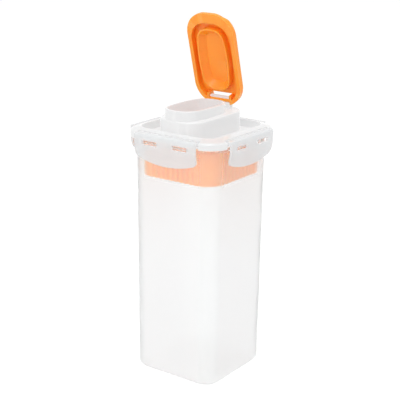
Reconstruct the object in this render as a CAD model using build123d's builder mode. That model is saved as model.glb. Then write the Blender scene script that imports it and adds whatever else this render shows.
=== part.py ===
from build123d import *
from math import atan, degrees
import os

# Tall storage container with a clip-on lid, a pour spout and a measuring cup.
# Millimetres, +Z up, origin at the centre of the base.
# The front, where the spout pours, faces -Y. The cap swings about an axis along X.

# Container
body_bottom_half = 47.0       # half width over the flat sides, at the base
body_top_half = 48.2          # the same under the collar
body_height = 233.8           # base to the underside of the collar
body_corner = 15.0            # corner radius of the square section
body_wall = 1.8
floor_thickness = 2.4
base_bevel = 2.6
floor_bevel = 1.8
foot_band = 6.0               # width of the ring that the base stands on
foot_recess = 1.0

# Collar at the mouth, with the catches for the latches
collar_step = 1.2             # how far the collar stands out from the side
collar_height = 7.7
collar_wall = 1.6
ledge_thickness = 1.8
catch_rise = 0.7              # collar underside to catch underside
catch_reach = 4.6
catch_height = 1.8
catch_length = 54.0
collar_rib_count = 7
collar_rib_step = 10.5        # degrees round the corner
corner_middle = 45.0          # degrees from a side to the middle of the corner
collar_rib_width = 1.3
collar_rib_gap = 0.3          # rib tops to the skirt of the lid
collar_rib_reach = 0.8

# Lid
collar_plug_gap = 0.8         # inside of the collar to the part of the lid that dips into it
recess_corner = 15.5
recess_wall = 1.5
deck_wall = 1.8
rim_outer_corner = 24.0
rim_bevel = 1.2
rim_rise = 7.8                # rim top above the deck
rim_fall = 2.8                # how far the rim slopes down to its outer edge
deck_above_cup = 0.8          # deck underside above the flange of the cup
skirt_drop = 3.5              # skirt edge below the top of the collar
skirt_wall = 1.0              # the wall behind each latch
rim_past_barrel = 2.1         # outer edge of the rim past the latch hinge
collar_gap = 0.4
seal_height = 1.6

# Spout: a raised base on the deck, an oval neck on it
spout_base_width = 49.0
spout_base_corner = 19.0
spout_nose_bite = 0.2         # the nose of the base runs this far into the rim
spout_rear_gap = 2.4          # rear end of the base to the rim
spout_base_bevel = 1.1
spout_base_rise = 19.1        # above the deck
spout_wall = 1.9
neck_rise = 9.3               # above the spout base
neck_wall = 2.2
neck_lip_bevel = 0.6

# Flip cap and its snap-in hinge
cap_open_angle = 74.5         # degrees from closed, as it stands at rest
cap_width = 53.0
cap_length = 94.0
cap_corner = 22.0
cap_thickness = 8.0
cap_plate = 1.8
cap_outer_round = 3.6
cap_rim_width = 4.0
cap_tip_lip = 9.6             # the rim is wider at the tip, for the thumb
cap_lip_thickness = 3.6
cap_tail = 5.1                # rod centre to the rear end of the cap
plug_half_width = 17.0
plug_half_length = 31.6
plug_side_radius = 125.0      # the long sides bulge a little
plug_end_radius = 26.0
plug_corner = 12.0
plug_wall = 1.4
plug_reach = 0.6              # plug edge past the rim of the cap
plug_slope = 5.2              # how far the dished floor draws in
plug_floor = 0.4              # dish floor below the plate of the cap
plug_margin = 5.3             # plug edge to the inside of the tip lip
plug_gap = 0.4                # plug to neck bore
rod_radius = 2.0
rod_above_rim = 2.5           # rod centre above the rim plane of the cap
rod_gap = 0.3
hook_wall = 1.9
hook_half_width = 11.0
hook_mouth = 100.0            # degrees left open for the rod to snap in
hook_mouth_angle = 190.0      # the way that the mouth faces, from +Y over the top
hook_post_depth = 5.2
hinge_behind_spout = 11.1     # hinge axis ahead of the rear end of the spout base
hinge_rise = 8.3              # hinge axis above the spout base
ear_gap = 0.7                 # hook to the inside of each ear
ear_wall = 2.2
cap_window = 5.9              # opening in the cap ahead of the rod, for the hook

# Latches
latch_half_width = 35.2
latch_end_gap = 0.8
latch_wall = 2.0
latch_round = 2.0             # outer edge along the top
latch_height = 28.4           # top to the lowest point of the curved edge
latch_edge_rise = 6.3         # the lower edge curves up towards its ends
latch_corner = 6.0
latch_offset = 5.8            # outer face past the hinge axis
latch_tuck = 2.2              # how far the lower part draws in
latch_straight = 8.8          # top to where the inward curve starts
latch_curve = 17.0            # height of the inward curve
barrel_radius = 2.3
barrel_gap = 0.3
barrel_drop = 1.6             # barrel centre below the outer edge of the rim
pin_radius = 1.1
pin_gap = 0.3
pin_length = 4.0
pin_root = 1.5                # pin length buried in the rim
slot_length = 17.0
slot_height = 4.4
slot_spacing = 34.6
slot_corner = 1.2
slot_below_top = 8.3
hook_rib_gap = 0.35           # rib to catch, so that the lid can lift
hook_rib_height = 3.2
hook_rib_nose = 0.9

# Gasket
gasket_gap = 0.3
gasket_lip = 0.5

# Measuring cup
cup_depth = 35.0
cup_side_gap = 2.0            # outside of the cup to the wall of the container
cup_corner = 20.0
cup_wall = 1.3
cup_base_bevel = 2.2
cup_flange_gap = 0.3
cup_flange_thickness = 1.4
groove_pitch = 5.8            # the grooves leave ribs between them
groove_count = 9
groove_mouth = 3.6
groove_floor = 1.4
groove_depth = 1.3

# Levels and half widths that follow from the sizes above
latch_curve_radius = (latch_curve**2 + latch_tuck**2) / (4 * latch_tuck)
latch_curve_sweep = 2 * degrees(atan(latch_tuck / latch_curve))
cup_half = body_top_half - body_wall - cup_side_gap
collar_outer_half = body_top_half + collar_step
collar_inner_half = collar_outer_half - collar_wall
collar_corner = body_corner + collar_step
collar_top = body_height + collar_height
ledge_top = body_height + ledge_thickness
catch_bottom = body_height + catch_rise
catch_top = catch_bottom + catch_height
cup_top = ledge_top + cup_flange_thickness
deck_bottom = cup_top + deck_above_cup
deck_top = deck_bottom + deck_wall
rim_top = deck_top + rim_rise
rim_shoulder = rim_top - rim_fall
skirt_bottom = collar_top - skirt_drop
channel_inner_half = collar_inner_half - collar_plug_gap
recess_half = channel_inner_half - recess_wall
channel_outer_half = collar_outer_half + collar_gap
channel_corner = collar_corner + collar_gap
channel_top = collar_top + gasket_gap + seal_height
pocket_half = channel_outer_half + skirt_wall
barrel_offset = pocket_half + barrel_gap + barrel_radius
barrel_level = rim_shoulder - barrel_drop
latch_top = barrel_level + barrel_radius
latch_outer = barrel_offset + latch_offset
rim_outer_half = barrel_offset + rim_past_barrel
pocket_half_width = latch_half_width + latch_end_gap
spout_base_front = recess_half + spout_nose_bite
spout_base_rear = recess_half - spout_rear_gap
spout_base_length = spout_base_front + spout_base_rear
spout_base_centre = (spout_base_rear - spout_base_front) / 2
spout_base_top = deck_top + spout_base_rise
neck_top = spout_base_top + neck_rise
hinge_y = spout_base_rear - hinge_behind_spout
hinge_z = spout_base_top + hinge_rise
cap_rim_level = -rod_above_rim
cap_centre = cap_tail - cap_length / 2
cap_tip = cap_tail - cap_length
cap_top_level = cap_rim_level + cap_thickness
cavity_width = cap_width - 2 * cap_rim_width
cavity_length = cap_length - cap_rim_width - cap_tip_lip
cavity_centre = cap_tail - cap_rim_width - cavity_length / 2
cap_plate_level = cap_top_level - cap_plate
hook_inner = rod_radius + rod_gap
hook_outer = hook_inner + hook_wall
ear_inner = hook_half_width + ear_gap
plug_centre = cap_tail - cap_length + cap_tip_lip + plug_margin + plug_half_length
neck_centre = hinge_y + plug_centre

turns = {"front": 0, "right": 90, "back": 180, "left": 270}


def outward(turn):
    return Vector(0, -1, 0).rotate(Axis.Z, turn)


def section_plane(turn):
    # local x runs outward from the middle, local y runs up
    return Plane(origin=(0, 0, 0), x_dir=outward(turn), z_dir=outward(turn).cross(Vector(0, 0, 1)))


def facing_plane(turn, distance):
    # faces outward at this distance, with local x along the side and local y up
    return Plane(
        origin=outward(turn) * distance,
        x_dir=Vector(0, 0, 1).cross(outward(turn)),
        z_dir=outward(turn),
    )


def rounded_square(half, corner):
    RectangleRounded(2 * half, 2 * half, corner)


def oval(centre, margin):
    # the outline of the plug, grown by the margin: bulging sides and ends, blended at the corners
    with Locations((0, centre)):
        SlotOverall(2 * (plug_half_length + margin), 2 * (plug_end_radius + margin), rotation=90)
    for way in (-1, 1):
        with Locations((way * (plug_side_radius - plug_half_width), centre)):
            Circle(plug_side_radius + margin, mode=Mode.INTERSECT)
    fillet(vertices(), radius=plug_corner + margin)


# Container: a tapered rounded-square tub
with BuildPart() as container:
    with BuildSketch(Plane.XY):
        rounded_square(body_bottom_half, body_corner)
    with BuildSketch(Plane.XY.offset(body_height)):
        rounded_square(body_top_half, body_corner)
    loft(ruled=True)
    chamfer(container.faces().sort_by(Axis.Z)[0].edges(), length=base_bevel)
    with BuildSketch(Plane.XY.offset(body_height)):
        rounded_square(collar_outer_half, collar_corner)
    extrude(amount=collar_height)
    # inside of the tub, with bevelled floor edges
    with BuildPart(mode=Mode.PRIVATE) as tub_space:
        with BuildSketch(Plane.XY.offset(floor_thickness)):
            rounded_square(body_bottom_half - body_wall, body_corner - body_wall)
        with BuildSketch(Plane.XY.offset(ledge_top)):
            rounded_square(body_top_half - body_wall, body_corner - body_wall)
        loft(ruled=True)
        chamfer(tub_space.faces().sort_by(Axis.Z)[0].edges(), length=floor_bevel)
    add(tub_space.part, mode=Mode.SUBTRACT)
    with BuildSketch(Plane.XY.offset(ledge_top)):
        rounded_square(collar_inner_half, collar_corner - collar_wall)
    extrude(amount=collar_top - ledge_top, mode=Mode.SUBTRACT)
    # the base stands on a band round its edge
    with BuildSketch(Plane.XY):
        rounded_square(body_bottom_half - foot_band, body_corner - foot_band / 2)
    extrude(amount=foot_recess, mode=Mode.SUBTRACT)
    # a catch along each side
    for turn in turns.values():
        with BuildSketch(section_plane(turn)):
            with BuildLine():
                Polyline(
                    (collar_outer_half - collar_wall / 2, catch_bottom),
                    (collar_outer_half + catch_reach, catch_bottom),
                    (collar_outer_half + catch_reach, (catch_bottom + catch_top) / 2),
                    (collar_outer_half, catch_top),
                    (collar_outer_half - collar_wall / 2, catch_top),
                    close=True,
                )
            make_face()
        extrude(amount=catch_length / 2, both=True)
    # short upright ribs round each corner of the collar
    corner_centre = collar_outer_half - collar_corner
    rib_start = corner_middle - collar_rib_step * (collar_rib_count - 1) / 2
    for turn in turns.values():
        heart = Vector(corner_centre, corner_centre, 0).rotate(Axis.Z, turn)
        with BuildSketch(Plane(origin=(heart.X, heart.Y, catch_bottom))):
            with PolarLocations(
                collar_corner,
                collar_rib_count,
                start_angle=rib_start + turn,
                angular_range=collar_rib_step * (collar_rib_count - 1),
                endpoint=True,
            ):
                Rectangle(2 * collar_rib_reach, collar_rib_width)
        extrude(amount=skirt_bottom - collar_rib_gap - catch_bottom)
container.part.label = "container"

# Measuring cup: ribbed flat sides, smooth corners, hung by its flange
with BuildPart() as measuring_cup:
    with BuildSketch(Plane.XY.offset(ledge_top - cup_depth)):
        rounded_square(cup_half, cup_corner)
        for turn in turns.values():
            groove_row = outward(turn) * cup_half
            with Locations(Location((groove_row.X, groove_row.Y, 0), (0, 0, turn))):
                with GridLocations(groove_pitch, 1, groove_count, 1):
                    Polygon(
                        (-groove_mouth / 2, 0),
                        (groove_mouth / 2, 0),
                        (groove_floor / 2, groove_depth),
                        (-groove_floor / 2, groove_depth),
                        align=None,
                        mode=Mode.SUBTRACT,
                    )
    extrude(amount=cup_depth)
    with BuildSketch(Plane.XY.offset(ledge_top)):
        rounded_square(collar_inner_half - cup_flange_gap, collar_corner - collar_wall - cup_flange_gap)
    extrude(amount=cup_flange_thickness)
    with BuildPart(mode=Mode.PRIVATE) as cup_space:
        with BuildSketch(Plane.XY.offset(ledge_top - cup_depth + cup_wall)):
            rounded_square(cup_half - groove_depth - cup_wall, cup_corner - groove_depth - cup_wall)
        extrude(amount=cup_depth + cup_flange_thickness)
        chamfer(cup_space.faces().sort_by(Axis.Z)[0].edges(), length=cup_base_bevel)
    add(cup_space.part, mode=Mode.SUBTRACT)
measuring_cup.part.label = "measuring_cup"

# Gasket: a flat ring with a lip over the mouth of the container
gasket_bottom = channel_top - seal_height
with BuildPart() as lid_gasket:
    with BuildSketch(Plane.XY.offset(gasket_bottom + gasket_lip)):
        rounded_square(channel_outer_half - pin_gap / 2, channel_corner - pin_gap / 2)
        with BuildSketch(mode=Mode.SUBTRACT):
            rounded_square(channel_inner_half + pin_gap / 2, recess_corner + recess_wall + pin_gap / 2)
    extrude(amount=seal_height - gasket_lip)
    with BuildSketch(Plane.XY.offset(gasket_bottom)):
        rounded_square(collar_outer_half, collar_corner)
        with BuildSketch(mode=Mode.SUBTRACT):
            rounded_square(collar_inner_half, collar_corner - collar_wall)
    extrude(amount=gasket_lip)
lid_gasket.part.label = "lid_gasket"

# Lid
with BuildPart() as lid:
    with BuildSketch(Plane.XY.offset(skirt_bottom)):
        rounded_square(rim_outer_half, rim_outer_corner)
    extrude(amount=rim_shoulder - skirt_bottom)
    with BuildSketch(Plane.XY.offset(rim_shoulder)):
        rounded_square(rim_outer_half, rim_outer_corner)
    with BuildSketch(Plane.XY.offset(rim_top)):
        rounded_square(recess_half, recess_corner)
    loft(ruled=True)
    shoulder = lid.edges().filter_by_position(Axis.Z, rim_shoulder - 0.01, rim_shoulder + 0.01)
    chamfer(shoulder, length=rim_bevel)
    # deck plug that reaches down inside the collar
    with BuildSketch(Plane.XY.offset(deck_bottom)):
        rounded_square(channel_inner_half, recess_corner + recess_wall)
    extrude(amount=rim_shoulder - deck_bottom)
    # channel for the gasket and the mouth of the container
    with BuildSketch(Plane.XY.offset(deck_bottom)):
        rounded_square(channel_outer_half, channel_corner)
        with BuildSketch(mode=Mode.SUBTRACT):
            rounded_square(channel_inner_half, recess_corner + recess_wall)
    extrude(amount=channel_top - deck_bottom, mode=Mode.SUBTRACT)
    # sunk deck
    with BuildSketch(Plane.XY.offset(deck_top)):
        rounded_square(recess_half, recess_corner)
    extrude(amount=rim_top - deck_top, mode=Mode.SUBTRACT)
    # a pocket in the rim for each latch, with the stub pins that it turns on
    for turn in turns.values():
        with BuildSketch(section_plane(turn)):
            with Locations((pocket_half, skirt_bottom)):
                Rectangle(2 * latch_offset, 4 * rim_rise, align=(Align.MIN, Align.CENTER))
        extrude(amount=pocket_half_width, both=True, mode=Mode.SUBTRACT)
        for side in (-1, 1):
            with BuildSketch(section_plane(turn).offset(side * (pocket_half_width + pin_root))):
                with Locations((barrel_offset, barrel_level)):
                    Circle(pin_radius)
            extrude(amount=-side * (pin_length + pin_root))
    # spout base, hollow from below
    with BuildSketch(Plane.XY.offset(deck_bottom)):
        with Locations((0, spout_base_centre)):
            RectangleRounded(spout_base_width, spout_base_length, spout_base_corner)
    extrude(amount=spout_base_top - deck_bottom)
    chamfer(lid.faces().sort_by(Axis.Z)[-1].edges(), length=spout_base_bevel)
    with BuildSketch(Plane.XY.offset(spout_base_top - spout_wall)):
        oval(neck_centre, plug_gap + neck_wall)
    extrude(amount=spout_wall + neck_rise)
    chamfer(lid.faces().sort_by(Axis.Z)[-1].edges(), length=neck_lip_bevel)
    with BuildSketch(Plane.XY.offset(deck_bottom)):
        with Locations((0, spout_base_centre)):
            RectangleRounded(
                spout_base_width - 2 * spout_wall,
                spout_base_length - 2 * spout_wall,
                spout_base_corner - spout_wall,
            )
    extrude(amount=spout_base_top - spout_wall - deck_bottom, mode=Mode.SUBTRACT)
    with BuildSketch(Plane.XY.offset(deck_bottom)):
        oval(neck_centre, plug_gap)
    extrude(amount=neck_top - deck_bottom, mode=Mode.SUBTRACT)
    # post and open hook that the rod of the cap snaps into
    with BuildSketch(Plane(origin=(0, hinge_y, hinge_z), x_dir=(0, 1, 0), z_dir=(1, 0, 0))):
        with Locations((hook_outer - hook_post_depth / 2, -hinge_rise / 2)):
            Rectangle(hook_post_depth, hinge_rise)
        Circle(hook_outer)
        Circle(hook_inner, mode=Mode.SUBTRACT)
        with BuildLine():
            mouth_top = PolarLine((0, 0), 2 * hook_outer, angle=hook_mouth_angle + hook_mouth / 2)
            mouth_low = PolarLine((0, 0), 2 * hook_outer, angle=hook_mouth_angle - hook_mouth / 2)
            Line(mouth_top @ 1, mouth_low @ 1)
        make_face(mode=Mode.SUBTRACT)
    extrude(amount=hook_half_width, both=True)
lid.part.label = "lid"

# Latches: a plate on a barrel, with two slots and a rib under each slot
rib_top = catch_bottom - hook_rib_gap
rib_tip = collar_outer_half + catch_reach + hook_rib_gap
latches = []
for name, turn in turns.items():
    with BuildPart() as latch:
        with BuildSketch(section_plane(turn)):
            with BuildLine():
                outer_top = Line((barrel_offset, latch_top), (latch_outer - latch_round, latch_top))
                outer_turn = JernArc(outer_top @ 1, (1, 0), latch_round, -90)
                outer_flat = Line(outer_turn @ 1, (latch_outer, latch_top - latch_straight))
                outer_in = JernArc(outer_flat @ 1, (0, -1), latch_curve_radius, -latch_curve_sweep)
                outer_out = JernArc(outer_in @ 1, outer_in % 1, latch_curve_radius, latch_curve_sweep)
                outer_foot = Line(outer_out @ 1, (latch_outer - latch_tuck, latch_top - latch_height - latch_wall))
                inner_foot = Line(outer_foot @ 1, outer_foot @ 1 - Vector(latch_wall, 0))
                inner_low = Line(inner_foot @ 1, outer_out @ 1 - Vector(latch_wall, 0))
                inner_out = JernArc(inner_low @ 1, (0, 1), latch_curve_radius + latch_wall, -latch_curve_sweep)
                inner_in = JernArc(inner_out @ 1, inner_out % 1, latch_curve_radius - latch_wall, latch_curve_sweep)
                inner_flat = Line(inner_in @ 1, (latch_outer - latch_wall, latch_top - latch_wall))
                inner_top = Line(inner_flat @ 1, (barrel_offset, latch_top - latch_wall))
                Line(inner_top @ 1, outer_top @ 0)
            make_face()
            with Locations((barrel_offset, barrel_level)):
                Circle(barrel_radius)
        extrude(amount=latch_half_width, both=True)
        # ribs that catch under the ledges on the collar
        with BuildSketch(section_plane(turn)):
            with BuildLine():
                Polyline(
                    (latch_outer - latch_wall / 2, rib_top),
                    (rib_tip, rib_top),
                    (rib_tip, rib_top - hook_rib_nose),
                    (latch_outer - latch_wall - hook_rib_gap / 2, rib_top - hook_rib_height),
                    close=True,
                )
            make_face()
        extrude(amount=(slot_spacing + slot_length) / 2, both=True)
        with BuildSketch(section_plane(turn)):
            with Locations((rib_tip, rib_top)):
                Rectangle(latch_outer - latch_wall - rib_tip, 2 * hook_rib_height, align=(Align.MIN, Align.CENTER))
        extrude(amount=(slot_spacing - slot_length) / 2, both=True, mode=Mode.SUBTRACT)
        # front outline, with the curved lower edge
        with BuildSketch(facing_plane(turn, barrel_offset - 2 * barrel_radius)) as outline:
            with BuildLine():
                corner_level = latch_top - latch_height + latch_edge_rise
                left_side = Line((-latch_half_width, latch_top), (-latch_half_width, corner_level))
                lower_edge = ThreePointArc(
                    left_side @ 1,
                    (0, latch_top - latch_height),
                    (latch_half_width, corner_level),
                )
                right_side = Line(lower_edge @ 1, (latch_half_width, latch_top))
                Line(right_side @ 1, left_side @ 0)
            make_face()
            fillet(outline.vertices().group_by(Axis.Y)[0], radius=latch_corner)
        extrude(amount=latch_outer, mode=Mode.INTERSECT)
        # slots, and a blind bore in each end of the barrel
        with BuildSketch(facing_plane(turn, latch_outer)):
            with Locations((0, latch_top - slot_below_top)):
                with GridLocations(slot_spacing, 1, 2, 1):
                    RectangleRounded(slot_length, slot_height, slot_corner)
        extrude(amount=-2 * latch_wall, mode=Mode.SUBTRACT)
        for side in (-1, 1):
            with BuildSketch(section_plane(turn).offset(side * latch_half_width)):
                with Locations((barrel_offset, barrel_level)):
                    Circle(pin_radius + pin_gap)
            extrude(amount=-side * (pin_length - latch_end_gap + pin_gap), mode=Mode.SUBTRACT)
    latch.part.label = f"latch_{name}"
    latches.append(latch.part)

# Flip cap, drawn in its own frame: origin on the rod, local y to the rear, local z to its outside
cap_plane = Plane(
    origin=(0, hinge_y, hinge_z),
    x_dir=(1, 0, 0),
    z_dir=Vector(0, 0, 1).rotate(Axis.X, -cap_open_angle),
)
cap_axis = Axis(cap_plane.origin, cap_plane.z_dir)
cap_section = Plane(origin=cap_plane.origin, x_dir=cap_plane.y_dir, z_dir=cap_plane.x_dir)


def cap_outline(margin):
    # margin is taken off all round
    with Locations((0, cap_centre)):
        RectangleRounded(cap_width - 2 * margin, cap_length - 2 * margin, cap_corner - margin)


with BuildPart() as flip_cap:
    with BuildSketch(cap_plane.offset(cap_rim_level)):
        cap_outline(0)
    extrude(amount=cap_thickness)
    fillet(flip_cap.faces().sort_by(cap_axis)[-1].edges(), radius=cap_outer_round)
    # the tip thins to a lip for the thumb
    with BuildSketch(cap_section):
        with BuildLine():
            Polyline(
                (cap_tip, cap_rim_level + cap_lip_thickness),
                (cap_tip - cap_tip_lip, cap_rim_level + cap_lip_thickness),
                (cap_tip - cap_tip_lip, cap_top_level + cap_plate),
                (cap_tip + cap_tip_lip, cap_top_level + cap_plate),
                (cap_tip + cap_tip_lip, cap_top_level),
                (cap_tip + cap_tip_lip / 3, cap_rim_level + cap_lip_thickness),
                close=True,
            )
        make_face()
    extrude(amount=cap_width, both=True, mode=Mode.SUBTRACT)
    # inside of the cap, closed off ahead of the lip
    with BuildSketch(cap_plane.offset(cap_rim_level)):
        with Locations((0, cavity_centre)):
            RectangleRounded(cavity_width, cavity_length, cap_corner - cap_rim_width)
    extrude(amount=cap_plate_level - cap_rim_level, mode=Mode.SUBTRACT)
    # oval plug with a dished floor
    with BuildSketch(cap_plane.offset(cap_rim_level - plug_reach)):
        oval(plug_centre, 0)
    extrude(amount=cap_plate_level - cap_rim_level + plug_reach)
    with BuildSketch(cap_plane.offset(cap_rim_level - plug_reach)):
        oval(plug_centre, -plug_wall)
    with BuildSketch(cap_plane.offset(cap_plate_level - plug_floor)):
        oval(plug_centre, -plug_wall - plug_slope)
    loft(ruled=True, mode=Mode.SUBTRACT)
    # ears beside the hook, then the opening between them and the rod across it
    with BuildSketch(cap_plane.offset(cap_rim_level)):
        cap_outline(cap_rim_width / 2)
        with Locations((-ear_inner - ear_wall / 2, 0), (ear_inner + ear_wall / 2, 0)):
            Rectangle(ear_wall, 2 * cap_window, mode=Mode.INTERSECT)
    extrude(amount=cap_plate_level - cap_rim_level)
    with BuildSketch(cap_plane.offset(cap_rim_level - plug_reach)):
        with Locations((0, -cap_window)):
            Rectangle(2 * ear_inner, cap_window + 2 * cap_tail, align=(Align.CENTER, Align.MIN))
    extrude(amount=cap_thickness + 2 * plug_reach, mode=Mode.SUBTRACT)
    with BuildSketch(Plane.YZ.offset(-ear_inner - ear_wall / 2)):
        with Locations((hinge_y, hinge_z)):
            Circle(rod_radius)
    extrude(amount=2 * ear_inner + ear_wall)
flip_cap.part.label = "flip_cap"

os.makedirs("parts", exist_ok=True)
for piece in [container.part, measuring_cup.part, lid_gasket.part, lid.part, flip_cap.part] + latches:
    export_step(piece, f"parts/{piece.label}.step")
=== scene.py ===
import math

import bpy
from mathutils import Matrix, Vector

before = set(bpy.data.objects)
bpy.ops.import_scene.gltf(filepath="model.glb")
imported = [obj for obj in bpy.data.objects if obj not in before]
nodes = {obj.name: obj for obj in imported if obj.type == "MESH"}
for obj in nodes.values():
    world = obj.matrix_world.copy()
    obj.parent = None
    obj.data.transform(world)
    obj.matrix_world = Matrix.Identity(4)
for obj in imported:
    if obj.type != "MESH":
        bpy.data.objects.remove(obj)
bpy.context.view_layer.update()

# Dog food container in milky clear plastic, with an orange flip cap and measuring cup.
# Metres, same frame as the solids: z up, the spout pours towards -y.


# node helpers

def newMaterial(name):
    mat = bpy.data.materials.new(name)
    mat.use_nodes = True
    mat.node_tree.nodes.clear()
    return mat, mat.node_tree


def addNode(tree, kind, at, **settings):
    node = tree.nodes.new(kind)
    node.location = at
    for key, value in settings.items():
        setattr(node, key, value)
    return node


def placeGroup(tree, group, at, **values):
    node = addNode(tree, "ShaderNodeGroup", at, node_tree=group)
    for key, value in values.items():
        node.inputs[key].default_value = value
    return node


def newGroup(name, inputs, outputs):
    group = bpy.data.node_groups.new(name, "ShaderNodeTree")
    for label, kind, value in inputs:
        socket = group.interface.new_socket(label, in_out="INPUT", socket_type=kind)
        socket.default_value = value
    for label, kind in outputs:
        group.interface.new_socket(label, in_out="OUTPUT", socket_type=kind)
    start = addNode(group, "NodeGroupInput", (-900, 0))
    end = addNode(group, "NodeGroupOutput", (700, 0))
    return group, start, end


mirrorAndClear = ("Is Glossy Ray", "Is Transmission Ray")


def seenRays(tree, at, kinds=mirrorAndClear):
    # 1 for the camera's rays and for the kinds named, 0 for rays that only carry light
    path = addNode(tree, "ShaderNodeLightPath", at)
    total = path.outputs["Is Camera Ray"]
    for step, kind in enumerate(kinds):
        place = (at[0] + 150 * (step + 1), at[1])
        either = addNode(tree, "ShaderNodeMath", place, operation="MAXIMUM")
        tree.links.new(total, either.inputs[0])
        tree.links.new(path.outputs[kind], either.inputs[1])
        total = either.outputs[0]
    return total


# shared effects

def makeClouding():
    # slow change of thickness in a moulded wall, with faint flow lines along z
    cloudSpread = (0.3, 0.7)  # the part of the noise that is stretched to Low and High
    group, start, end = newGroup(
        "clouding",
        [
            ("Cloud Scale", "NodeSocketFloat", 20.0),
            ("Flow Stretch", "NodeSocketFloat", 0.25),
            ("Low", "NodeSocketFloat", 0.0),
            ("High", "NodeSocketFloat", 1.0),
        ],
        [("Value", "NodeSocketFloat")],
    )
    link = group.links.new
    place = addNode(group, "ShaderNodeTexCoord", (-900, -250))
    squeeze = addNode(group, "ShaderNodeCombineXYZ", (-700, 150))
    squeeze.inputs["X"].default_value = 1.0
    squeeze.inputs["Y"].default_value = 1.0
    link(start.outputs["Flow Stretch"], squeeze.inputs["Z"])
    stretched = addNode(group, "ShaderNodeVectorMath", (-500, 0), operation="MULTIPLY")
    link(place.outputs["Object"], stretched.inputs[0])
    link(squeeze.outputs[0], stretched.inputs[1])
    cloud = addNode(group, "ShaderNodeTexNoise", (-300, 0))
    cloud.inputs["Detail"].default_value = 3.0
    cloud.inputs["Roughness"].default_value = 0.55
    link(start.outputs["Cloud Scale"], cloud.inputs["Scale"])
    link(stretched.outputs[0], cloud.inputs["Vector"])
    spread = addNode(group, "ShaderNodeMapRange", (0, 0))
    spread.inputs["From Min"].default_value = cloudSpread[0]
    spread.inputs["From Max"].default_value = cloudSpread[1]
    link(cloud.outputs[0], spread.inputs["Value"])
    link(start.outputs["Low"], spread.inputs["To Min"])
    link(start.outputs["High"], spread.inputs["To Max"])
    link(spread.outputs[0], end.inputs["Value"])
    return group


def makeMouldSkin():
    # fine skin of a moulded part: a soft orange-peel with sparse hair scratches
    hairTurn = (0.3, 0.5, 0.2)
    hairStretch = (60.0, 60.0, 9.0)
    hairWidth = 0.006
    group, start, end = newGroup(
        "mouldSkin",
        [
            ("Peel Scale", "NodeSocketFloat", 900.0),
            ("Peel", "NodeSocketFloat", 0.5),
            ("Scratch", "NodeSocketFloat", 0.3),
        ],
        [("Height", "NodeSocketFloat"), ("Scratches", "NodeSocketFloat")],
    )
    link = group.links.new
    place = addNode(group, "ShaderNodeTexCoord", (-900, -250))
    peel = addNode(group, "ShaderNodeTexNoise", (-600, 200))
    peel.inputs["Detail"].default_value = 2.0
    link(start.outputs["Peel Scale"], peel.inputs["Scale"])
    link(place.outputs["Object"], peel.inputs["Vector"])
    # hair scratches: thin level lines of a stretched noise
    turned = addNode(group, "ShaderNodeMapping", (-700, -200))
    turned.inputs["Rotation"].default_value = hairTurn
    turned.inputs["Scale"].default_value = hairStretch
    link(place.outputs["Object"], turned.inputs["Vector"])
    lines = addNode(group, "ShaderNodeTexNoise", (-500, -200))
    lines.inputs["Scale"].default_value = 1.0
    lines.inputs["Detail"].default_value = 1.0
    link(turned.outputs[0], lines.inputs["Vector"])
    offMiddle = addNode(group, "ShaderNodeMath", (-300, -200), operation="SUBTRACT")
    offMiddle.inputs[1].default_value = 0.5
    link(lines.outputs[0], offMiddle.inputs[0])
    either = addNode(group, "ShaderNodeMath", (-150, -200), operation="ABSOLUTE")
    link(offMiddle.outputs[0], either.inputs[0])
    thin = addNode(group, "ShaderNodeMapRange", (0, -200))
    thin.inputs["From Min"].default_value = 0.0
    thin.inputs["From Max"].default_value = hairWidth
    thin.inputs["To Min"].default_value = 1.0
    thin.inputs["To Max"].default_value = 0.0
    link(either.outputs[0], thin.inputs["Value"])
    hair = addNode(group, "ShaderNodeMath", (200, -200), operation="MULTIPLY")
    link(thin.outputs[0], hair.inputs[0])
    link(start.outputs["Scratch"], hair.inputs[1])
    bumps = addNode(group, "ShaderNodeMath", (0, 200), operation="MULTIPLY")
    link(peel.outputs[0], bumps.inputs[0])
    link(start.outputs["Peel"], bumps.inputs[1])
    both = addNode(group, "ShaderNodeMath", (400, 100), operation="SUBTRACT")
    link(bumps.outputs[0], both.inputs[0])
    link(hair.outputs[0], both.inputs[1])
    link(both.outputs[0], end.inputs["Height"])
    link(hair.outputs[0], end.inputs["Scratches"])
    return group


def makeEdgeHighlight():
    # painted highlight: another tone where an outer edge is rounded over, set lighter to stand in for
    # the gloss along the edge
    ridgeSpread = (0.51, 0.62)  # flat surfaces lie at 0.5, sharp outer edges towards 1
    group, start, end = newGroup(
        "paintedEdgeHighlight",
        [
            ("Colour", "NodeSocketColor", (0.8, 0.8, 0.8, 1.0)),
            ("Highlight Colour", "NodeSocketColor", (0.9, 0.9, 0.9, 1.0)),
            ("Amount", "NodeSocketFloat", 0.5),
        ],
        [("Colour", "NodeSocketColor"), ("Edge", "NodeSocketFloat")],
    )
    link = group.links.new
    shape = addNode(group, "ShaderNodeNewGeometry", (-700, -150))
    ridge = addNode(group, "ShaderNodeMapRange", (-450, -150))
    ridge.inputs["From Min"].default_value = ridgeSpread[0]
    ridge.inputs["From Max"].default_value = ridgeSpread[1]
    link(shape.outputs["Pointiness"], ridge.inputs["Value"])
    weight = addNode(group, "ShaderNodeMath", (-200, -150), operation="MULTIPLY")
    link(ridge.outputs[0], weight.inputs[0])
    link(start.outputs["Amount"], weight.inputs[1])
    mix = addNode(group, "ShaderNodeMix", (100, 100), data_type="RGBA")
    link(weight.outputs[0], mix.inputs["Factor"])
    link(start.outputs["Colour"], mix.inputs["A"])
    link(start.outputs["Highlight Colour"], mix.inputs["B"])
    link(mix.outputs["Result"], end.inputs["Colour"])
    link(weight.outputs[0], end.inputs["Edge"])
    return group


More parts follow.
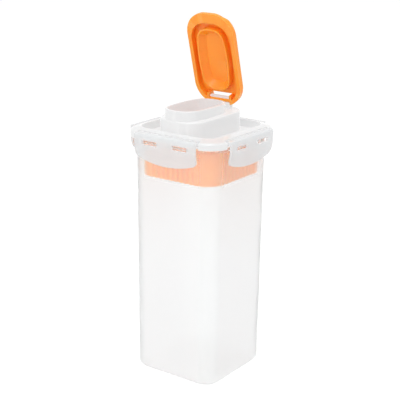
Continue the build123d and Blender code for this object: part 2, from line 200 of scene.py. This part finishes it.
def makeThickZones():
    # where the wall looks milkier: down the corners, above the band level, below the foot level; the
    # Corner output also masks the painted shade at the corners
    group, start, end = newGroup(
        "thickZones",
        [
            ("Corner Start", "NodeSocketFloat", 0.033),
            ("Corner Haze", "NodeSocketFloat", 0.1),
            ("Band Level", "NodeSocketFloat", 0.2335),
            ("Band Haze", "NodeSocketFloat", 0.3),
            ("Foot Level", "NodeSocketFloat", 0.2),
            ("Foot Haze", "NodeSocketFloat", 0.03),
            ("Blend", "NodeSocketFloat", 0.003),
        ],
        [("Value", "NodeSocketFloat"), ("Corner", "NodeSocketFloat")],
    )
    link = group.links.new
    place = addNode(group, "ShaderNodeTexCoord", (-900, -250))
    parts = addNode(group, "ShaderNodeSeparateXYZ", (-750, -250))
    link(place.outputs["Object"], parts.inputs[0])
    sizes = []
    for row, axis in enumerate("XY"):
        size = addNode(group, "ShaderNodeMath", (-550, 100 - 150 * row), operation="ABSOLUTE")
        link(parts.outputs[axis], size.inputs[0])
        sizes.append(size)
    nearest = addNode(group, "ShaderNodeMath", (-400, 50), operation="MINIMUM")
    link(sizes[0].outputs[0], nearest.inputs[0])
    link(sizes[1].outputs[0], nearest.inputs[1])
    wanted = [
        (nearest.outputs[0], "Corner Start", "Corner Haze"),
        (parts.outputs["Z"], "Band Level", "Band Haze"),
    ]
    zones = []
    for row, (where, begin, amount) in enumerate(wanted):
        past = addNode(group, "ShaderNodeMath", (-200, 100 - 250 * row), operation="ADD")
        link(start.outputs[begin], past.inputs[0])
        link(start.outputs["Blend"], past.inputs[1])
        zone = addNode(
            group, "ShaderNodeMapRange", (50, 100 - 250 * row), interpolation_type="SMOOTHSTEP")
        link(where, zone.inputs["Value"])
        link(start.outputs[begin], zone.inputs["From Min"])
        link(past.outputs[0], zone.inputs["From Max"])
        link(start.outputs[amount], zone.inputs["To Max"])
        zones.append(zone)
    both = addNode(group, "ShaderNodeMath", (300, 0), operation="ADD")
    link(zones[0].outputs[0], both.inputs[0])
    link(zones[1].outputs[0], both.inputs[1])
    below = addNode(group, "ShaderNodeMath", (50, -400), operation="LESS_THAN")
    link(parts.outputs["Z"], below.inputs[0])
    link(start.outputs["Foot Level"], below.inputs[1])
    total = addNode(group, "ShaderNodeMath", (500, 0), operation="MULTIPLY_ADD")
    link(below.outputs[0], total.inputs[0])
    link(start.outputs["Foot Haze"], total.inputs[1])
    link(both.outputs[0], total.inputs[2])
    link(total.outputs[0], end.inputs["Value"])
    link(zones[0].outputs[0], end.inputs["Corner"])
    return group


clouding = makeClouding()
mouldSkin = makeMouldSkin()
paintedEdgeHighlight = makeEdgeHighlight()
thickZones = makeThickZones()
print("shared effects ready")


# materials

def milkyPlastic(name, look):
    # see-through milky plastic: alpha rises where the wall is seen edge-on
    mat, tree = newMaterial(name)
    link = tree.links.new
    shader = addNode(tree, "ShaderNodeBsdfPrincipled", (600, 0))
    out = addNode(tree, "ShaderNodeOutputMaterial", (900, 0))
    link(shader.outputs[0], out.inputs["Surface"])
    shader.inputs["IOR"].default_value = look["ior"]
    shader.inputs["Specular IOR Level"].default_value = look["specular"]
    shader.inputs["Subsurface Weight"].default_value = look["glow"]
    shader.inputs["Subsurface Radius"].default_value = look["glowRadius"]
    shader.inputs["Subsurface Scale"].default_value = look["glowScale"]
    # painted glow: a faint emission that lifts the wall's shaded sides, in place of the light that
    # would reach them
    shader.inputs["Emission Color"].default_value = look["paintedGlowColour"]
    shader.inputs["Emission Strength"].default_value = look["paintedGlowLevel"]
    # painted highlight along the rounded edges
    tone = placeGroup(tree, paintedEdgeHighlight, (100, 300), **{
        "Colour": look["colour"], "Highlight Colour": look["highlightColour"], "Amount": look["highlightAmount"]})
    link(tone.outputs["Colour"], shader.inputs["Base Color"])
    cloud = placeGroup(tree, clouding, (-500, 0), **{
        "Cloud Scale": look["cloudScale"], "Flow Stretch": look["flowStretch"],
        "Low": look["alphaLow"], "High": look["alphaHigh"]})
    facing = addNode(tree, "ShaderNodeLayerWeight", (-500, -300))
    facing.inputs["Blend"].default_value = look["edgeBlend"]
    cover = addNode(tree, "ShaderNodeMath", (-250, -200), operation="MULTIPLY_ADD", use_clamp=True)
    cover.inputs[1].default_value = look["edgeAlpha"]
    link(facing.outputs["Facing"], cover.inputs[0])
    link(cloud.outputs["Value"], cover.inputs[2])
    # rays outside metBy carry light and pass more freely, as in a wall that scatters
    passing = addNode(tree, "ShaderNodeMapRange", (0, -350))
    passing.inputs["To Min"].default_value = look["lightAlpha"]
    link(seenRays(tree, (-700, -700), look["metBy"]), passing.inputs["Value"])
    alpha = addNode(tree, "ShaderNodeMath", (200, -250), operation="MULTIPLY")
    link(cover.outputs[0], alpha.inputs[0])
    link(passing.outputs[0], alpha.inputs[1])
    link(alpha.outputs[0], shader.inputs["Alpha"])
    skin = placeGroup(tree, mouldSkin, (-100, -400), **{
        "Peel Scale": look["peelScale"], "Peel": look["peel"], "Scratch": look["scratch"]})
    rough = addNode(tree, "ShaderNodeMath", (200, -150), operation="MULTIPLY_ADD")
    rough.inputs[1].default_value = look["scratchRough"]
    rough.inputs[2].default_value = look["roughness"]
    link(skin.outputs["Scratches"], rough.inputs[0])
    link(rough.outputs[0], shader.inputs["Roughness"])
    bump = addNode(tree, "ShaderNodeBump", (300, -400))
    bump.inputs["Distance"].default_value = look["bumpDistance"]
    bump.inputs["Strength"].default_value = look["bumpStrength"]
    link(skin.outputs["Height"], bump.inputs["Height"])
    link(bump.outputs[0], shader.inputs["Normal"])
    return mat


def frostedPlastic(name, look):
    # clear plastic that scatters: what is near the wall shows through, what is far blurs away
    mat, tree = newMaterial(name)
    link = tree.links.new
    shader = addNode(tree, "ShaderNodeBsdfPrincipled", (600, 0))
    out = addNode(tree, "ShaderNodeOutputMaterial", (900, 0))
    link(shader.outputs[0], out.inputs["Surface"])
    shader.inputs["IOR"].default_value = look["ior"]
    shader.inputs["Transmission Weight"].default_value = look["clear"]
    shader.inputs["Specular IOR Level"].default_value = look["specular"]
    cloud = placeGroup(tree, clouding, (-600, 300), **{
        "Cloud Scale": look["cloudScale"], "Flow Stretch": look["flowStretch"],
        "Low": 0.0, "High": 1.0})
    blend = addNode(tree, "ShaderNodeMix", (-300, 300), data_type="RGBA")
    blend.inputs["A"].default_value = look["colour"]
    blend.inputs["B"].default_value = look["deepColour"]
    link(cloud.outputs["Value"], blend.inputs["Factor"])
    # painted highlight along the rounded edges
    tone = placeGroup(tree, paintedEdgeHighlight, (0, 300), **{
        "Highlight Colour": look["highlightColour"], "Amount": look["highlightAmount"]})
    link(blend.outputs["Result"], tone.inputs["Colour"])
    thick = placeGroup(tree, thickZones, (-300, -250), **{
        "Corner Start": look["cornerStart"], "Corner Haze": look["cornerHaze"],
        "Band Level": look["bandLevel"], "Band Haze": look["bandHaze"], "Blend": look["zoneBlend"],
        "Foot Level": look["footLevel"], "Foot Haze": look["footHaze"]})
    # painted shade: down the corners the wall takes a darker, less red colour that dims the orange
    # cup seen through it, standing in for the shade on the cup's rounded corner
    shadedCorner = addNode(tree, "ShaderNodeMix", (300, 400), data_type="RGBA")
    shadedCorner.inputs["B"].default_value = look["cornerShadeColour"]
    share = addNode(tree, "ShaderNodeMapRange", (100, 500))
    share.inputs["From Max"].default_value = look["cornerHaze"]
    link(thick.outputs["Corner"], share.inputs["Value"])
    link(share.outputs[0], shadedCorner.inputs["Factor"])
    link(tone.outputs["Colour"], shadedCorner.inputs["A"])
    link(shadedCorner.outputs["Result"], shader.inputs["Base Color"])
    # light goes through to what is inside, and the eye meets the whole wall
    passing = addNode(tree, "ShaderNodeMapRange", (200, -50))
    passing.inputs["To Min"].default_value = look["lightAlpha"]
    passing.inputs["To Max"].default_value = 1.0
    link(seenRays(tree, (-500, -50)), passing.inputs["Value"])
    link(passing.outputs[0], shader.inputs["Alpha"])
    skin = placeGroup(tree, mouldSkin, (-100, -400), **{
        "Peel Scale": look["peelScale"], "Peel": look["peel"], "Scratch": look["scratch"]})
    rough = addNode(tree, "ShaderNodeMath", (200, -250), operation="MULTIPLY_ADD")
    rough.inputs[1].default_value = look["scratchRough"]
    rough.inputs[2].default_value = look["roughness"]
    link(skin.outputs["Scratches"], rough.inputs[0])
    rougher = addNode(tree, "ShaderNodeMath", (400, -250), operation="ADD", use_clamp=True)
    link(rough.outputs[0], rougher.inputs[0])
    link(thick.outputs["Value"], rougher.inputs[1])
    link(rougher.outputs[0], shader.inputs["Roughness"])
    bump = addNode(tree, "ShaderNodeBump", (300, -500))
    bump.inputs["Distance"].default_value = look["bumpDistance"]
    bump.inputs["Strength"].default_value = look["bumpStrength"]
    link(skin.outputs["Height"], bump.inputs["Height"])
    link(bump.outputs[0], shader.inputs["Normal"])
    return mat


def solidPlastic(name, look):
    # opaque moulded plastic with a slight change of tone over the piece
    mat, tree = newMaterial(name)
    link = tree.links.new
    shader = addNode(tree, "ShaderNodeBsdfPrincipled", (600, 0))
    out = addNode(tree, "ShaderNodeOutputMaterial", (900, 0))
    link(shader.outputs[0], out.inputs["Surface"])
    shader.inputs["Specular IOR Level"].default_value = look["specular"]
    shader.inputs["Subsurface Weight"].default_value = look["glow"]
    shader.inputs["Subsurface Radius"].default_value = look["glowRadius"]
    shader.inputs["Subsurface Scale"].default_value = look["glowScale"]
    cloud = placeGroup(tree, clouding, (-600, 200), **{
        "Cloud Scale": look["cloudScale"], "Flow Stretch": 1.0, "Low": 0.0, "High": 1.0})
    blend = addNode(tree, "ShaderNodeMix", (-300, 300), data_type="RGBA")
    blend.inputs["A"].default_value = look["colour"]
    blend.inputs["B"].default_value = look["deepColour"]
    link(cloud.outputs["Value"], blend.inputs["Factor"])
    # painted highlight along the rounded edges
    tone = placeGroup(tree, paintedEdgeHighlight, (0, 300), **{
        "Highlight Colour": look["highlightColour"], "Amount": look["highlightAmount"]})
    link(blend.outputs["Result"], tone.inputs["Colour"])
    link(tone.outputs["Colour"], shader.inputs["Base Color"])
    skin = placeGroup(tree, mouldSkin, (-100, -300), **{
        "Peel Scale": look["peelScale"], "Peel": look["peel"], "Scratch": look["scratch"]})
    rough = addNode(tree, "ShaderNodeMath", (200, -100), operation="MULTIPLY_ADD")
    rough.inputs[1].default_value = look["scratchRough"]
    rough.inputs[2].default_value = look["roughness"]
    link(skin.outputs["Scratches"], rough.inputs[0])
    link(rough.outputs[0], shader.inputs["Roughness"])
    bump = addNode(tree, "ShaderNodeBump", (300, -350))
    bump.inputs["Distance"].default_value = look["bumpDistance"]
    bump.inputs["Strength"].default_value = look["bumpStrength"]
    link(skin.outputs["Height"], bump.inputs["Height"])
    link(bump.outputs[0], shader.inputs["Normal"])
    return mat


# pieces: each CAD node keeps its mesh and gets softened edges and its finish

softening = dict(weldGap=0.000002, segments=2, fromAngle=28)


def dress(name, material, softEdge):
    piece = nodes[name]
    piece.data.materials.clear()
    piece.data.materials.append(material)
    for face in piece.data.polygons:
        face.use_smooth = True
    weld = piece.modifiers.new("weld", "WELD")
    weld.merge_threshold = softening["weldGap"]
    bevel = piece.modifiers.new("softEdge", "BEVEL")
    bevel.width = softEdge
    bevel.segments = softening["segments"]
    bevel.limit_method = "ANGLE"
    bevel.angle_limit = math.radians(softening["fromAngle"])
    bevel.harden_normals = False
    piece.modifiers.new("normals", "WEIGHTED_NORMAL").keep_sharp = False
    return piece


# starts and levels are metres in the object's frame; haze adds to the wall's roughness or alpha
# in each look the edge colour is a painted highlight along rounded edges
containerLook = dict(
    colour=(0.972, 0.974, 0.976, 1), deepColour=(0.96, 0.962, 0.964, 1),
    # the corner colour is painted shade of the cup's rounded corner seen through the wall
    highlightColour=(0.97, 0.97, 0.97, 1), cornerShadeColour=(0.955, 0.966, 0.966, 1), highlightAmount=0.4,
    specular=0.5, ior=1.3, clear=0.84,
    lightAlpha=0.08,  # share of the wall that meets a ray which only carries light
    cloudScale=14.0, flowStretch=0.3,
    cornerStart=0.0325, cornerHaze=0.04,
    bandLevel=0.2325, bandHaze=0.2,
    footLevel=0.2, footHaze=0.03, zoneBlend=0.0015,
    roughness=0.265, scratchRough=0.6,
    peelScale=700.0, peel=0.4, scratch=0.0, bumpDistance=0.00003, bumpStrength=0.2,
    softEdge=0.0006)
lidLook = dict(
    containerLook, colour=(0.455, 0.457, 0.46, 1), highlightColour=(0.54, 0.54, 0.54, 1),
    # the emission colour and level give the lid a painted glow that lifts its shaded sides
    ior=1.49, paintedGlowColour=(0.98, 0.985, 0.985, 1), paintedGlowLevel=0.31,
    glow=0.2, glowRadius=(1.0, 1.0, 1.0), glowScale=0.006,
    alphaLow=0.88, alphaHigh=0.93, edgeBlend=0.3, edgeAlpha=0.07,
    lightAlpha=0.12, metBy=mirrorAndClear + ("Is Diffuse Ray",),
    roughness=0.1, scratchRough=0.3, scratch=0.3, bumpDistance=0.00004, bumpStrength=0.35,
    softEdge=0.0005)
latchLook = dict(
    lidLook, colour=(0.59, 0.60, 0.61, 1), highlightColour=(0.62, 0.62, 0.62, 1),
    # the emission colour and level give the latches a painted glow
    paintedGlowColour=(0.94, 0.98, 1.0, 1), paintedGlowLevel=0.12,
    alphaLow=0.58, alphaHigh=0.64, edgeAlpha=0.3,
    lightAlpha=0.05, metBy=mirrorAndClear, softEdge=0.0004)
orangeLook = dict(
    colour=(1.0, 0.335, 0.024, 1), deepColour=(0.99, 0.305, 0.02, 1),
    highlightColour=(1.0, 0.46, 0.10, 1), highlightAmount=0.5,
    specular=0.45, glow=0.5, glowRadius=(1.0, 0.35, 0.08), glowScale=0.006,
    cloudScale=45.0, roughness=0.34, scratchRough=0.2,
    peelScale=1100.0, peel=0.6, scratch=0.35, bumpDistance=0.00005, bumpStrength=0.5,
    softEdge=0.0005)
sealLook = dict(
    orangeLook, colour=(0.82, 0.82, 0.80, 1), deepColour=(0.78, 0.78, 0.76, 1),
    highlightColour=(0.86, 0.86, 0.85, 1), glow=0.0, glowRadius=(1.0, 1.0, 1.0),
    roughness=0.6, softEdge=0.00015)

containerPlastic = frostedPlastic("containerPlastic", containerLook)
lidPlastic = milkyPlastic("lidPlastic", lidLook)
latchPlastic = milkyPlastic("latchPlastic", latchLook)
orangePlastic = solidPlastic("orangePlastic", orangeLook)
sealRubber = solidPlastic("sealRubber", sealLook)

dress("container", containerPlastic, containerLook["softEdge"])
dress("lid", lidPlastic, lidLook["softEdge"])
dress("lid_gasket", sealRubber, sealLook["softEdge"])
dress("flip_cap", orangePlastic, orangeLook["softEdge"])
dress("measuring_cup", orangePlastic, orangeLook["softEdge"])
for side in ("front", "right", "back", "left"):
    dress("latch_" + side, latchPlastic, latchLook["softEdge"])
print("pieces dressed")


# floor, light and camera

studio = dict(
    floorSize=40.0, floorColour=(0.86, 0.86, 0.86, 1),
    seenFloor=(0.24, 0.24, 0.24, 1), floorLift=0.86,
    worldLight=0.6, aimHeight=0.2)
lamps = dict(
    frontStrip=dict(azimuth=-6, distance=1.15, level=0.62, width=0.28, height=1.2, power=4.0),
    rightStrip=dict(azimuth=104, distance=1.15, level=0.62, width=0.28, height=1.2, power=3.5),
    highPanel=dict(azimuth=25, distance=0.85, level=1.25, width=0.8, height=0.8, power=4.5),
    topPanel=dict(azimuth=0, distance=0.1, level=1.45, width=1.0, height=1.0, power=3.5))


def makeFloor():
    # paper floor: the camera and the gloss see it lifted to white, less the object's shadow
    mesh = bpy.data.meshes.new("floor")
    half = studio["floorSize"] / 2
    corners = [(-half, -half, 0), (half, -half, 0), (half, half, 0), (-half, half, 0)]
    mesh.from_pydata(corners, [], [(0, 1, 2, 3)])
    floor = bpy.data.objects.new("floor", mesh)
    bpy.context.scene.collection.objects.link(floor)
    mat, tree = newMaterial("floorPaper")
    link = tree.links.new
    seen = seenRays(tree, (-600, -200))
    tone = addNode(tree, "ShaderNodeMix", (-200, 100), data_type="RGBA")
    tone.inputs["A"].default_value = studio["floorColour"]
    tone.inputs["B"].default_value = studio["seenFloor"]
    link(seen, tone.inputs["Factor"])
    paper = addNode(tree, "ShaderNodeBsdfDiffuse", (0, 0))
    link(tone.outputs["Result"], paper.inputs["Color"])
    strength = addNode(tree, "ShaderNodeMath", (-150, -200), operation="MULTIPLY")
    strength.inputs[1].default_value = studio["floorLift"]
    link(seen, strength.inputs[0])
    lift = addNode(tree, "ShaderNodeEmission", (0, -200))
    link(strength.outputs[0], lift.inputs["Strength"])
    both = addNode(tree, "ShaderNodeAddShader", (200, 0))
    link(paper.outputs[0], both.inputs[0])
    link(lift.outputs[0], both.inputs[1])
    out = addNode(tree, "ShaderNodeOutputMaterial", (400, 0))
    link(both.outputs[0], out.inputs["Surface"])
    mesh.materials.append(mat)


def makeWorld():
    world = bpy.data.worlds.new("studio")
    bpy.context.scene.world = world
    world.use_nodes = True
    tree = world.node_tree
    tree.nodes.clear()
    level = addNode(tree, "ShaderNodeMapRange", (-150, 0))
    level.inputs["To Min"].default_value = studio["worldLight"]
    level.inputs["To Max"].default_value = 1.0
    tree.links.new(seenRays(tree, (-700, 0)), level.inputs["Value"])
    sky = addNode(tree, "ShaderNodeBackground", (100, 0))
    sky.inputs["Color"].default_value = (1, 1, 1, 1)
    tree.links.new(level.outputs[0], sky.inputs["Strength"])
    out = addNode(tree, "ShaderNodeOutputWorld", (300, 0))
    tree.links.new(sky.outputs[0], out.inputs["Surface"])


def addLamp(name, spec):
    # azimuth is counted in degrees from the front, towards the right side
    lamp = bpy.data.lights.new(name, "AREA")
    lamp.shape = "RECTANGLE"
    lamp.size = spec["width"]
    lamp.size_y = spec["height"]
    lamp.energy = spec["power"]
    holder = bpy.data.objects.new(name, lamp)
    bpy.context.scene.collection.objects.link(holder)
    turn = math.radians(spec["azimuth"])
    away = Vector((math.sin(turn), -math.cos(turn), 0)) * spec["distance"]
    holder.location = away + Vector((0, 0, spec["level"]))
    aim = Vector((0, 0, studio["aimHeight"])) - holder.location
    holder.rotation_euler = aim.to_track_quat("-Z", "Y").to_euler()


def makeCamera():
    # the photograph's view, solved from the object's own edges
    view = dict(
        turn=35.66, lift=17.06, roll=0.73, lens=94.63,
        distance=1.032192, side=-0.0005856, height=0.171312)
    turn = math.radians(view["turn"])
    lift = math.radians(view["lift"])
    roll = math.radians(view["roll"])
    back = Vector((math.sin(turn) * math.cos(lift), -math.cos(turn) * math.cos(lift), math.sin(lift)))
    right = Vector((math.cos(turn), math.sin(turn), 0))
    up = back.cross(right)
    rolledRight = right * math.cos(roll) + up * math.sin(roll)
    rolledUp = up * math.cos(roll) - right * math.sin(roll)
    lens = bpy.data.cameras.new("camera")
    lens.sensor_width = 36
    lens.lens = view["lens"]
    lens.clip_start = 0.01
    camera = bpy.data.objects.new("camera", lens)
    bpy.context.scene.collection.objects.link(camera)
    at = right * view["side"] + Vector((0, 0, view["height"])) + back * view["distance"]
    axes = Matrix((rolledRight, rolledUp, back)).transposed()
    camera.matrix_world = Matrix.Translation(at) @ axes.to_4x4()
    bpy.context.scene.camera = camera


makeFloor()
makeWorld()
for name, spec in lamps.items():
    addLamp(name, spec)
makeCamera()
bpy.context.scene.view_settings.view_transform = "Standard"
print("floor, light and camera ready")
